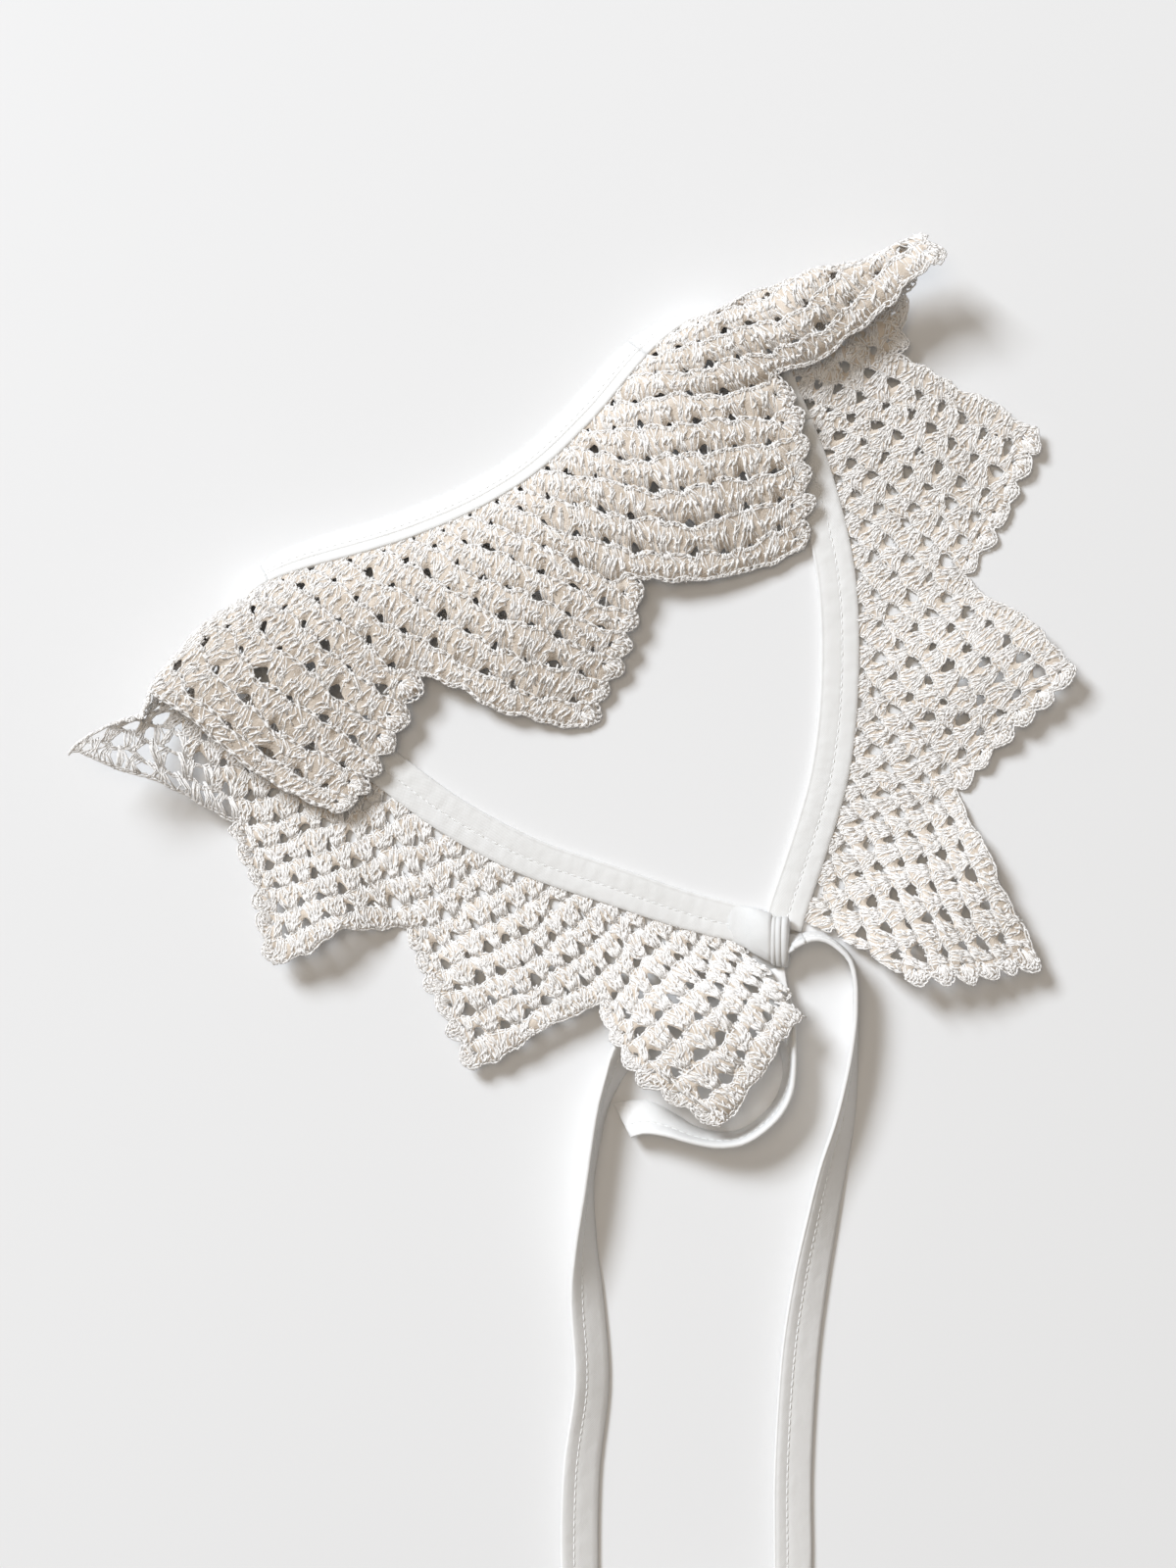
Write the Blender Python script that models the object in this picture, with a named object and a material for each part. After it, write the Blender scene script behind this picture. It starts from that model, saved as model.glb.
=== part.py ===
"""Crocheted lace collar on a narrow folded tape, tied at the front and lying on a table.

The lace is one strip with eleven points. Its front lies flat with the points outward,
its back is folded over the neck opening with the points inward, and the two ends of the
fold stand up as soft cones. Metres, +Z up, origin under the middle of the collar.

Plan coordinates in the tables are millimetres on a sheet, x to the right and y down
from its top left corner. Heights are millimetres above the table.
"""
import math
from bisect import bisect_right

import bpy
import numpy as np
from mathutils import Vector

MM = 0.001

# Driving sizes, in millimetres.
LACE_POINTS = 11
CELLS = 6
LACE_DEPTH = 57.0
LACE_WALL = 1.6
TAPE_WIDTH = 10.0
TAPE_WALL = 1.6
TAPE_CHAMFER = 0.35
TIE_WALL = 1.4
SEAM_GAP = 0.3
PITCH = 50.0
REST_BAND = 0.4
SHEET_CENTRE = (147.24, 174.21)

# Mesh steps.
HALF_STEPS = 2
SCALLOP_STEPS = 4
SCALLOP_RISE = 0.32
SCALLOP_DIP = 0.10
SEAM_CELLS = 0.07
TAPE_STEP = 0.125
NECK_STEP = 0.25
TIE_STEP = 6.0
NORMAL_STEP = 0.01

# Centre line of the neck tape. `u` counts points of the lace along the neck, `roll` is
# the slope of the tape towards the lace: 0 lies flat, 90 stands up, 139 leans back over.
NECK = (
    # u, x, y, roll
    (0.40, 194.4, 237.2, 0),
    (0.50, 191.2, 236.4, 0),
    (1.00, 174.2, 232.0, 0),
    (1.50, 154.0, 225.2, 0),
    (2.00, 135.0, 218.6, 0),
    (2.50, 115.0, 208.0, 0),
    (3.00, 96.2, 194.5, 0),
    (3.50, 79.5, 184.5, 10),
    (4.00, 68.0, 170.0, 36),
    (4.50, 61.6, 155.6, 84),
    (5.00, 71.2, 144.3, 130),
    (5.50, 97.0, 136.2, 139),
    (6.00, 118.0, 128.0, 139),
    (6.50, 136.2, 116.8, 139),
    (7.00, 152.2, 100.8, 138),
    (7.30, 162.5, 89.3, 130),
    (7.60, 175.0, 81.2, 106),
    (7.80, 184.8, 80.8, 84),
    (8.00, 193.6, 86.3, 62),
    (8.50, 201.0, 105.0, 22),
    (9.00, 208.0, 123.8, 5),
    (9.50, 213.2, 146.8, 0),
    (10.00, 214.2, 171.0, 0),
    (10.50, 212.4, 192.5, 0),
    (11.00, 208.5, 209.0, 0),
    (11.50, 200.4, 233.6, 0),
)

# Places of the lace beyond the neck. `v` is 0 at the neck, 0.5 in the valleys between
# the points and 1 at their tips.
LACE = (
    # u, v, x, y, z
    (0.5, 0.25, 197.2, 250.2, 7.0),
    (0.5, 0.5, 203.0, 259.2, 11.0),
    (1.0, 0.5, 178.2, 258.2, 11.0),
    (1.0, 1.0, 182.5, 286.2, 10.2),
    (1.25, 0.75, 162.1, 272.3, 10.5),
    (1.5, 0.5, 153.3, 255.9, 5.0),
    (1.75, 0.75, 138.4, 262.7, 6.0),
    (2.0, 0.5, 128.8, 247.2, 4.5),
    (2.0, 1.0, 121.0, 272.6, 4.0),
    (2.5, 0.5, 103.8, 237.0, 0.0),
    (2.75, 0.75, 86.2, 238.2, 9.0),
    (3.0, 0.5, 81.2, 223.2, 4.0),
    (3.0, 1.0, 70.0, 246.2, 7.5),
    (3.25, 0.75, 66.2, 226.8, 6.0),
    (3.5, 0.5, 59.4, 209.3, 3.0),
    (3.75, 0.75, 39.5, 198.8, 13.0),
    (4.0, 0.5, 41.5, 184.5, 8.0),
    (4.0, 1.0, 20.7, 192.5, 21.0),
    (4.25, 0.25, 52.2, 171.2, 6.5),
    (4.25, 0.5, 39.5, 180.8, 8.5),
    (4.25, 0.75, 34.4, 183.4, 16.0),
    (4.5, 0.25, 51.6, 160.9, 13.0),
    (4.5, 0.5, 40.2, 176.2, 15.0),
    (4.75, 0.75, 64.9, 195.9, 10.0),
    (5.0, 0.5, 75.0, 177.5, 13.5),
    (5.0, 1.0, 86.2, 207.5, 6.6),
    (5.5, 0.5, 107.5, 172.5, 7.5),
    (6.0, 0.5, 135.0, 159.5, 11.0),
    (6.0, 1.0, 150.0, 186.2, 2.4),
    (6.5, 0.5, 162.5, 148.8, 7.5),
    (7.0, 0.5, 180.5, 124.0, 11.5),
    (7.0, 1.0, 205.0, 140.8, 3.8),
    (7.5, 0.5, 198.5, 97.8, 11.5),
    (7.75, 0.5, 201.7, 85.5, 17.5),
    (7.75, 0.75, 218.7, 85.9, 14.0),
    (7.86, 0.25, 190.6, 75.8, 12.0),
    (8.0, 0.5, 206.4, 70.0, 14.0),
    (8.0, 1.0, 238.9, 71.3, 21.0),
    (8.13, 0.87, 233.1, 62.2, 17.0),
    (8.25, 0.5, 216.0, 80.0, 6.0),
    (8.3, 0.7, 230.3, 74.0, 9.0),
    (8.5, 0.5, 229.1, 91.1, 4.0),
    (8.75, 0.75, 246.6, 100.6, 2.5),
    (9.0, 0.5, 239.2, 118.5, 2.0),
    (9.0, 1.0, 265.0, 109.8, 3.0),
    (9.5, 0.5, 246.2, 147.0, 0.0),
    (10.0, 0.5, 245.2, 173.8, 4.5),
    (10.0, 1.0, 274.0, 171.0, 6.0),
    (10.25, 0.75, 257.9, 186.0, 3.5),
    (10.5, 0.5, 244.2, 200.8, 0.0),
    (10.75, 0.75, 251.6, 219.6, 6.0),
    (11.0, 0.5, 237.8, 225.2, 5.0),
    (11.0, 1.0, 265.0, 244.5, 5.0),
    (11.5, 0.5, 231.2, 250.0, 9.0),
)

# Stretches of the neck tape, from `u0` to `u1`.
TAPE_STRETCHES = (
    ("neck_tape_front_left", 0.44, 3.30),
    ("neck_tape_left_turn", 3.30, 4.90),
    ("neck_tape_back", 4.90, 7.30),
    ("neck_tape_right_turn", 7.30, 8.60),
    ("neck_tape_front_right", 8.60, 11.50),
)

# Centre lines of the two ties. `roll` is the slope across the tape: 0 lies flat, 90
# stands on its edge, and past 90 the left edge of the run is the high one.
TIE_RIGHT = (
    # x, y, roll
    (201.4, 240.4, 80),
    (206.0, 238.7, 84),
    (210.0, 239.1, 86),
    (213.6, 241.4, 86),
    (216.4, 244.6, 86),
    (217.6, 249.4, 86),
    (217.8, 255.0, 86),
    (217.7, 261.5, 83),
    (216.9, 271.5, 74),
    (214.9, 285.3, 58),
    (211.8, 298.0, 44),
    (209.2, 310.8, 35),
    (206.2, 327.0, 25),
    (203.6, 347.0, 18),
    (202.0, 375.0, 16),
    (202.0, 400.0, 14),
    (200.5, 412.0, 32),
    (195.0, 423.5, 66),
    (186.0, 431.0, 84),
    (175.0, 434.0, 90),
    (164.0, 431.0, 96),
    (154.8, 423.5, 112),
    (149.4, 412.0, 130),
    (147.8, 400.0, 137),
    (148.2, 375.0, 134),
    (151.0, 352.0, 131),
    (149.6, 331.5, 134),
    (149.2, 319.0, 122),
    (149.9, 303.0, 102),
    (151.6, 291.0, 102),
    (153.4, 282.0, 106),
    (156.0, 274.8, 116),
    (158.9, 268.8, 132),
    (163.2, 263.6, 146),
)
TIE_LEFT = (
    # x, y, roll
    (195.2, 247.2, 165),
    (196.2, 253.0, 160),
    (198.2, 259.0, 145),
    (200.2, 265.0, 114),
    (201.1, 271.5, 101),
    (200.4, 277.4, 101),
    (197.9, 282.6, 101),
    (193.4, 287.0, 101),
    (188.3, 289.8, 102),
    (182.3, 290.2, 104),
    (176.2, 288.8, 108),
    (170.2, 286.2, 122),
    (164.2, 284.6, 141),
    (158.6, 285.6, 156),
)
TIE_LEFT_SLANT = 3.0

# Knot: a flattened barrel of three tape wraps round the crossing.
KNOT_CENTRE = (197.3, 239.9)
KNOT_HALF_LENGTH = 3.6
KNOT_HALF_WIDTH = 6.4
KNOT_HEIGHT = 9.0
KNOT_WRAPS = 3
KNOT_GROOVE = 0.10
KNOT_RINGS = 12
KNOT_SIDES = 20

# Colours, as red, green and blue.
IVORY_LACE = (0.86, 0.82, 0.75)
WHITE_TAPE = (0.93, 0.92, 0.89)


def world(x, y, z=0.0):
    """Sheet millimetres to millimetres round the origin."""
    return np.array((x - SHEET_CENTRE[0], SHEET_CENTRE[1] - y, z))


def smooth_row(keys, rows, key):
    """Value at `key` on the smooth curve through `rows`, placed at `keys`."""
    last = len(keys) - 1
    i = min(max(bisect_right(keys, key) - 1, 0), last - 1)

    def slope(j):
        low, high = max(j - 1, 0), min(j + 1, last)
        return (rows[high] - rows[low]) / (keys[high] - keys[low])

    span = keys[i + 1] - keys[i]
    t = (key - keys[i]) / span
    ease = t * t * (3 - 2 * t)
    start = t * (1 - t) ** 2 * span
    end = t * t * (t - 1) * span
    return rows[i] + (rows[i + 1] - rows[i]) * ease + slope(i) * start + slope(i + 1) * end


NECK_KEYS = [row[0] for row in NECK]
NECK_ROWS = [np.array(row[1:], float) for row in NECK]


def neck_edge(u, side):
    """A point of the neck tape's edge: side 1 is the lace side, -1 the neck side."""
    here, ahead = (smooth_row(NECK_KEYS, NECK_ROWS, u + step) for step in (-0.01, 0.01))
    run = world(*ahead[:2]) - world(*here[:2])
    run /= np.linalg.norm(run)
    x, y, roll = (here + ahead) / 2
    slope = math.radians(roll)
    across = np.array((-run[1] * math.cos(slope), run[0] * math.cos(slope), math.sin(slope)))
    lift = TAPE_WIDTH / 2 * math.sin(slope) + TAPE_WALL * max(0.0, -math.cos(slope))
    return world(x, y, lift) + across * side * TAPE_WIDTH / 2


def spread(gap):
    """Thin-plate kernel of the squared distances in `gap`."""
    return gap * np.log(gap + 1e-12)


def flat_place(u, v):
    return np.stack((np.asarray(u, float) * PITCH, np.asarray(v, float) * LACE_DEPTH), axis=-1)


def fit_cloth():
    """Smooth sheet through the neck tape's edges and the places of the lace."""
    stations = [NECK_KEYS[0], *np.arange(0.5, NECK_KEYS[-1] + NECK_STEP / 2, NECK_STEP)]
    flat, solid = [], []
    for u in stations:
        for side, v in ((1, 0.0), (-1, -TAPE_WIDTH / LACE_DEPTH)):
            flat.append(flat_place(u, v))
            solid.append(neck_edge(u, side))
    for u, v, x, y, z in LACE:
        flat.append(flat_place(u, v))
        solid.append(world(x, y, z))
    flat, solid = np.array(flat), np.array(solid)
    count = len(flat)
    gaps = ((flat[:, None] - flat[None]) ** 2).sum(axis=2)
    plane = np.hstack((np.ones((count, 1)), flat))
    matrix = np.zeros((count + 3, count + 3))
    matrix[:count, :count] = spread(gaps)
    matrix[:count, count:] = plane
    matrix[count:, :count] = plane.T
    weights = np.linalg.solve(matrix, np.vstack((solid, np.zeros((3, 3)))))
    return flat, weights


CLOTH = fit_cloth()


def cloth_place(u, v):
    """Raw place of the sheet at each u and v."""
    flat, weights = CLOTH
    here = flat_place(u, v)
    gaps = ((here[:, None] - flat[None]) ** 2).sum(axis=2)
    plane = np.hstack((np.ones((len(here), 1)), here))
    return spread(gaps) @ weights[:-3] + plane @ weights[-3:]


def cloth(u, v):
    """Points of the sheet, resting on the table, and their unit normals."""
    u, v = np.asarray(u, float), np.asarray(v, float)
    along = cloth_place(u + NORMAL_STEP, v) - cloth_place(u - NORMAL_STEP, v)
    across = cloth_place(u, v + NORMAL_STEP) - cloth_place(u, v - NORMAL_STEP)
    normals = np.cross(along, across)
    normals /= np.linalg.norm(normals, axis=1)[:, None]
    points = cloth_place(u, v)
    points[:, 2] = np.maximum(points[:, 2] - REST_BAND, 0.0)
    return points, normals


def material(name, colour, roughness):
    made = bpy.data.materials.new(name)
    made.use_nodes = True
    shader = made.node_tree.nodes["Principled BSDF"]
    shader.inputs["Base Color"].default_value = (*colour, 1.0)
    shader.inputs["Roughness"].default_value = roughness
    shader.inputs["Metallic"].default_value = 0.0
    return made


def add_object(name, points, faces, look, collection):
    """Closed mesh object from millimetre points and face loops."""
    mesh = bpy.data.meshes.new(name)
    mesh.from_pydata([Vector(point) * MM for point in points], [], faces)
    mesh.materials.append(look)
    mesh.set_sharp_from_angle(angle=math.radians(40))
    made = bpy.data.objects.new(name, mesh)
    collection.objects.link(made)
    return made


def thicken(faces, count):
    """Loops of a wall: `faces` below, the same above, and a rim between them."""
    loops = [tuple(reversed(face)) for face in faces]
    loops += [tuple(i + count for i in face) for face in faces]
    edges = {(a, b) for face in faces for a, b in zip(face, face[1:] + face[:1])}
    for a, b in sorted(edges):
        if (b, a) not in edges:
            loops.append((a, b, b + count, a + count))
    return loops


def scallop(j):
    """How far a row's end shell stands past the valley line, in cells."""
    return SCALLOP_RISE * math.sin(math.pi * (j % 1.0)) - SCALLOP_DIP


class Panel:
    """Rows of crochet of one point, as faces over numbered lattice places."""

    def __init__(self, point):
        self.point = point
        self.places = []
        self.numbers = {}
        self.faces = []

    def inside(self, k, j):
        first = self.point > 1 or k - j >= -CELLS
        last = self.point < LACE_POINTS or k - j <= CELLS
        return k + j >= 0 and first and last

    def number(self, k, j):
        if (k, j) not in self.numbers:
            seam = j == 0 and self.point < LACE_POINTS
            row = SEAM_CELLS if seam else j
            u = self.point + (k - row) / (2 * CELLS)
            v = max((k + row) / (2 * CELLS), SEAM_GAP / LACE_DEPTH)
            self.numbers[k, j] = len(self.places)
            self.places.append((u, v))
        return self.numbers[k, j]

    def cell(self, k, j, step):
        """One mesh cell, cut to half where the panel's edge crosses it."""
        corners = [(k, j), (k + step, j), (k + step, j + step), (k, j + step)]
        corners = [corner for corner in corners if self.inside(*corner)]
        if len(corners) > 2:
            self.faces.append([self.number(*corner) for corner in corners])

    def end_cell(self, k, j, step):
        """The last cell of a row, with its stretch of the rounded end shell."""
        count = SCALLOP_STEPS // HALF_STEPS
        rim = [j + step * i / count for i in range(count + 1)]
        corners = [(k, j)]
        corners += [(CELLS + scallop(place), place) for place in rim]
        corners += [(k, j + step)]
        self.faces.append([self.number(*corner) for corner in corners])

    def build(self):
        step = 1.0 / HALF_STEPS
        first_row = -CELLS // 2 if self.point == LACE_POINTS else 0
        for row in range(first_row * HALF_STEPS, CELLS * HALF_STEPS):
            for column in range(-CELLS * HALF_STEPS, CELLS * HALF_STEPS):
                k, j = column * step, row * step
                if k + step >= CELLS and j >= 0:
                    self.end_cell(k, j, step)
                else:
                    self.cell(k, j, step)


def lace_point(point, look, collection):
    panel = Panel(point)
    panel.build()
    u, v = zip(*panel.places)
    lower, normals = cloth(u, v)
    upper = lower + normals * LACE_WALL
    upper[:, 2] = np.maximum(upper[:, 2], 0.0)
    points = np.vstack((lower, upper))
    name = f"lace_point_{point:02d}"
    return add_object(name, points, thicken(panel.faces, len(lower)), look, collection)


def facing_out(points, loops):
    """Whether the closed skin's loops turn outwards, from the volume that they enclose."""
    volume = 0.0
    for loop in loops:
        a = points[loop[0]]
        for b, c in zip(loop[1:-1], loop[2:]):
            volume += np.dot(a, np.cross(points[b], points[c]))
    return volume > 0


def loft(rings):
    """Points and loops of a closed skin through equal rings, flat at both ends."""
    sides = len(rings[0])
    points = [point for ring in rings for point in ring]
    loops = []
    for ring in range(len(rings) - 1):
        for side in range(sides):
            a = ring * sides + side
            b = ring * sides + (side + 1) % sides
            loops.append((a, b, b + sides, a + sides))
    loops.append(tuple(reversed(range(sides))))
    loops.append(tuple(range(len(points) - sides, len(points))))
    return points, loops if facing_out(points, loops) else [loop[::-1] for loop in loops]


def tape_section():
    """Places across the folded tape, as width from the lace side and height."""
    wide, high, cut = TAPE_WIDTH, TAPE_WALL, TAPE_CHAMFER
    corners = ((-wide + cut, 0), (-cut, 0), (0, cut), (0, high - cut),
               (-cut, high), (-wide + cut, high), (-wide, high - cut), (-wide, cut))
    return corners


def neck_tape(name, u0, u1, look, collection):
    gap = SEAM_GAP / PITCH / 2
    low, high = u0 + gap, u1 - gap
    count = round((high - low) / TAPE_STEP)
    rings = []
    for step in range(count + 1):
        u = low + (high - low) * step / count
        across, heights = zip(*tape_section())
        v = [place / LACE_DEPTH for place in across]
        points, normals = cloth([u] * len(v), v)
        ring = points + normals * np.array(heights)[:, None]
        ring[:, 2] = np.maximum(ring[:, 2], 0.0)
        rings.append(ring)
    return add_object(name, *loft(rings), look, collection)


def tie_frame(rows, key):
    """Centre, run, width direction and wall direction of a tie at `key`."""
    keys = list(range(len(rows)))
    values = [np.array(row, float) for row in rows]
    key = min(max(key, 0.01), len(rows) - 1.01)
    before, after = (smooth_row(keys, values, key + step) for step in (-0.01, 0.01))
    x, y, roll = (before + after) / 2
    slope = math.radians(roll)
    run = world(*after[:2]) - world(*before[:2])
    run /= np.linalg.norm(run)
    width = np.array((run[1] * math.cos(slope), -run[0] * math.cos(slope), math.sin(slope)))
    wall = np.cross(run, width)
    lift = TAPE_WIDTH / 2 * math.sin(slope) + TIE_WALL / 2 * abs(math.cos(slope))
    return world(x, y, lift), run, width, wall


def tie(name, rows, slant, look, collection):
    """Flat tape along a route, its far end cut on the slant."""
    lengths = [math.dist(a[:2], b[:2]) for a, b in zip(rows, rows[1:])]
    keys = [0.0]
    for index, length in enumerate(lengths):
        steps = max(1, round(length / TIE_STEP))
        keys += [index + (i + 1) / steps for i in range(steps)]
    rings = []
    for key in keys:
        centre, run, width, wall = tie_frame(rows, key)
        cut = slant / TAPE_WIDTH if key == keys[-1] else 0.0
        ring = []
        for side, face in ((-1, -1), (1, -1), (1, 1), (-1, 1)):
            corner = centre + (width - run * cut) * side * TAPE_WIDTH / 2 + wall * face * TIE_WALL / 2
            corner[2] = max(corner[2], 0.0)
            ring.append(corner)
        rings.append(ring)
    return add_object(name, *loft(rings), look, collection)


def knot(look, collection):
    """Three round wraps side by side, flat where they rest."""
    rings = []
    for ring in range(KNOT_RINGS + 1):
        place = ring / KNOT_RINGS * 2 - 1
        wrap = 1 - KNOT_GROOVE * (1 + math.cos(math.pi * KNOT_WRAPS * (place + 1))) / 2
        size = wrap * (1 - 0.35 * abs(place) ** 5)
        points = []
        for side in range(KNOT_SIDES):
            turn = 2 * math.pi * side / KNOT_SIDES
            x = KNOT_CENTRE[0] + place * KNOT_HALF_LENGTH
            y = KNOT_CENTRE[1] + KNOT_HALF_WIDTH * size * math.cos(turn)
            z = KNOT_HEIGHT / 2 * (1 + size * math.sin(turn))
            points.append(world(x, y, max(z, 0.0)))
        rings.append(points)
    return add_object("knot", *loft(rings), look, collection)


def clear_scene():
    for old in list(bpy.data.objects):
        bpy.data.objects.remove(old, do_unlink=True)


def main():
    clear_scene()
    collection = bpy.data.collections.new("lace_collar")
    bpy.context.scene.collection.children.link(collection)
    lace = material("ivory_crochet_cotton", IVORY_LACE, 0.85)
    tape = material("white_cotton_tape", WHITE_TAPE, 0.75)
    for point in range(1, LACE_POINTS + 1):
        lace_point(point, lace, collection)
    for name, u0, u1 in TAPE_STRETCHES:
        neck_tape(name, u0, u1, tape, collection)
    knot(tape, collection)
    tie("tie_right", TIE_RIGHT, 0.0, tape, collection)
    tie("tie_left", TIE_LEFT, TIE_LEFT_SLANT, tape, collection)


main()
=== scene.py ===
"""Looks of the crocheted lace collar: every stitch of the lace, the sewn tape and its knot.

The lace is worked on one smooth sheet, cloth(u, v), that runs through the CAD walls. `u`
counts the lace's points along the neck, and `v` is the share of its depth: 0 at the neck,
0.5 in the valleys between the points and 1 at their tips. The crochet has a lattice of its
own on that sheet: `k` counts the shells along a row and `j` counts the rows.

Lengths are millimetres until a mesh is made, and the mesh is in metres. Plan coordinates
in the tables are millimetres on a sheet, x to the right and y down, as in the CAD source.
"""
import math
from bisect import bisect_right

import bpy
import numpy as np
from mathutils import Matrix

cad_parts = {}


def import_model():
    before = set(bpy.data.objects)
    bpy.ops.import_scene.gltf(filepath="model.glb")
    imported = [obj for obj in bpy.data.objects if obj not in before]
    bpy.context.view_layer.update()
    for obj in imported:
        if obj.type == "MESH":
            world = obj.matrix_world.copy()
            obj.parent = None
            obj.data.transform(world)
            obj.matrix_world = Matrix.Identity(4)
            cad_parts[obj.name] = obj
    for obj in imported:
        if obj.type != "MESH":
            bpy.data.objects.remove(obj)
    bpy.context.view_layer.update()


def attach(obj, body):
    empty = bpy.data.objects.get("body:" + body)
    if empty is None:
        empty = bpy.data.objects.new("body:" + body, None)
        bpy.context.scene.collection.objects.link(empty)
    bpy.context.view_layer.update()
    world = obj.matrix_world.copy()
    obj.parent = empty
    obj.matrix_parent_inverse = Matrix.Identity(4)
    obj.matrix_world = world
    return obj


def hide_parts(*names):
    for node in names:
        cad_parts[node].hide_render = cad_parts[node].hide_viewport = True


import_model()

MM = 0.001
TINY = 1e-12    # keeps lengths and logarithms off zero

# Counts and sizes of the CAD source, in millimetres, but the scallops in lattice cells and
# the two steps in `u` and `v`.
LACE_POINTS = 11
CELLS = 6
LACE_DEPTH = 57.0
LACE_WALL = 1.6
TAPE_WIDTH = 10.0
TAPE_WALL = 1.6
TIE_WALL = 1.4
PITCH = 50.0
REST_BAND = 0.4
SHEET_CENTRE = (147.24, 174.21)
SCALLOP_RISE = 0.32
SCALLOP_DIP = 0.10
NECK_STEP = 0.25
NORMAL_STEP = 0.01

# The `u` where this lace starts and ends. The CAD wall starts at 0.5, farther from the knot.
LACE_START = 0.44
LACE_END = 11.5

# Half the gap between the two places that give a route's direction.
AIM_STEP = 0.01

# Centre line of the neck tape. `roll` is the slope of the tape towards the lace, in
# degrees: 0 lies flat, 90 stands up, 139 leans back over.
NECK = (
    # u, x, y, roll
    (0.4, 194.4, 237.2, 0),
    (0.5, 191.2, 236.4, 0),
    (1.0, 174.2, 232.0, 0),
    (1.5, 154.0, 225.2, 0),
    (2.0, 135.0, 218.6, 0),
    (2.5, 115.0, 208.0, 0),
    (3.0, 96.2, 194.5, 0),
    (3.5, 79.5, 184.5, 10),
    (4.0, 68.0, 170.0, 36),
    (4.5, 61.6, 155.6, 84),
    (5.0, 71.2, 144.3, 130),
    (5.5, 97.0, 136.2, 139),
    (6.0, 118.0, 128.0, 139),
    (6.5, 136.2, 116.8, 139),
    (7.0, 152.2, 100.8, 138),
    (7.3, 162.5, 89.3, 130),
    (7.6, 175.0, 81.2, 106),
    (7.8, 184.8, 80.8, 84),
    (8.0, 193.6, 86.3, 62),
    (8.5, 201.0, 105.0, 22),
    (9.0, 208.0, 123.8, 5),
    (9.5, 213.2, 146.8, 0),
    (10.0, 214.2, 171.0, 0),
    (10.5, 212.4, 192.5, 0),
    (11.0, 208.5, 209.0, 0),
    (11.5, 200.4, 233.6, 0),
)

# Places of the lace beyond the neck.
LACE = (
    # u, v, x, y, z
    (0.5, 0.25, 197.2, 250.2, 7.0),
    (0.5, 0.5, 203.0, 259.2, 11.0),
    (1.0, 0.5, 178.2, 258.2, 11.0),
    (1.0, 1.0, 182.5, 286.2, 10.2),
    (1.25, 0.75, 162.1, 272.3, 10.5),
    (1.5, 0.5, 153.3, 255.9, 5.0),
    (1.75, 0.75, 138.4, 262.7, 6.0),
    (2.0, 0.5, 128.8, 247.2, 4.5),
    (2.0, 1.0, 121.0, 272.6, 4.0),
    (2.5, 0.5, 103.8, 237.0, 0.0),
    (2.75, 0.75, 86.2, 238.2, 9.0),
    (3.0, 0.5, 81.2, 223.2, 4.0),
    (3.0, 1.0, 70.0, 246.2, 7.5),
    (3.25, 0.75, 66.2, 226.8, 6.0),
    (3.5, 0.5, 59.4, 209.3, 3.0),
    (3.75, 0.75, 39.5, 198.8, 13.0),
    (4.0, 0.5, 41.5, 184.5, 8.0),
    (4.0, 1.0, 20.7, 192.5, 21.0),
    (4.25, 0.25, 52.2, 171.2, 6.5),
    (4.25, 0.5, 39.5, 180.8, 8.5),
    (4.25, 0.75, 34.4, 183.4, 16.0),
    (4.5, 0.25, 51.6, 160.9, 13.0),
    (4.5, 0.5, 40.2, 176.2, 15.0),
    (4.75, 0.75, 64.9, 195.9, 10.0),
    (5.0, 0.5, 75.0, 177.5, 13.5),
    (5.0, 1.0, 86.2, 207.5, 6.6),
    (5.5, 0.5, 107.5, 172.5, 7.5),
    (6.0, 0.5, 135.0, 159.5, 11.0),
    (6.0, 1.0, 150.0, 186.2, 2.4),
    (6.5, 0.5, 162.5, 148.8, 7.5),
    (7.0, 0.5, 180.5, 124.0, 11.5),
    (7.0, 1.0, 205.0, 140.8, 3.8),
    (7.5, 0.5, 198.5, 97.8, 11.5),
    (7.75, 0.5, 201.7, 85.5, 17.5),
    (7.75, 0.75, 218.7, 85.9, 14.0),
    (7.86, 0.25, 190.6, 75.8, 12.0),
    (8.0, 0.5, 206.4, 70.0, 14.0),
    (8.0, 1.0, 238.9, 71.3, 21.0),
    (8.13, 0.87, 233.1, 62.2, 17.0),
    (8.25, 0.5, 216.0, 80.0, 6.0),
    (8.3, 0.7, 230.3, 74.0, 9.0),
    (8.5, 0.5, 229.1, 91.1, 4.0),
    (8.75, 0.75, 246.6, 100.6, 2.5),
    (9.0, 0.5, 239.2, 118.5, 2.0),
    (9.0, 1.0, 265.0, 109.8, 3.0),
    (9.5, 0.5, 246.2, 147.0, 0.0),
    (10.0, 0.5, 245.2, 173.8, 4.5),
    (10.0, 1.0, 274.0, 171.0, 6.0),
    (10.25, 0.75, 257.9, 186.0, 3.5),
    (10.5, 0.5, 244.2, 200.8, 0.0),
    (10.75, 0.75, 251.6, 219.6, 6.0),
    (11.0, 0.5, 237.8, 225.2, 5.0),
    (11.0, 1.0, 265.0, 244.5, 5.0),
    (11.5, 0.5, 231.2, 250.0, 9.0),
)

# Stretches of the neck tape, by `u`. The last runs on into the knot.
TAPE_INTO_KNOT = 0.058
TAPE_STRETCHES = (
    ("front_left", LACE_START, 3.30),
    ("left_turn", 3.30, 4.90),
    ("back", 4.90, 7.30),
    ("right_turn", 7.30, 8.60),
    ("front_right", 8.60, LACE_END + TAPE_INTO_KNOT),
)

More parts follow.
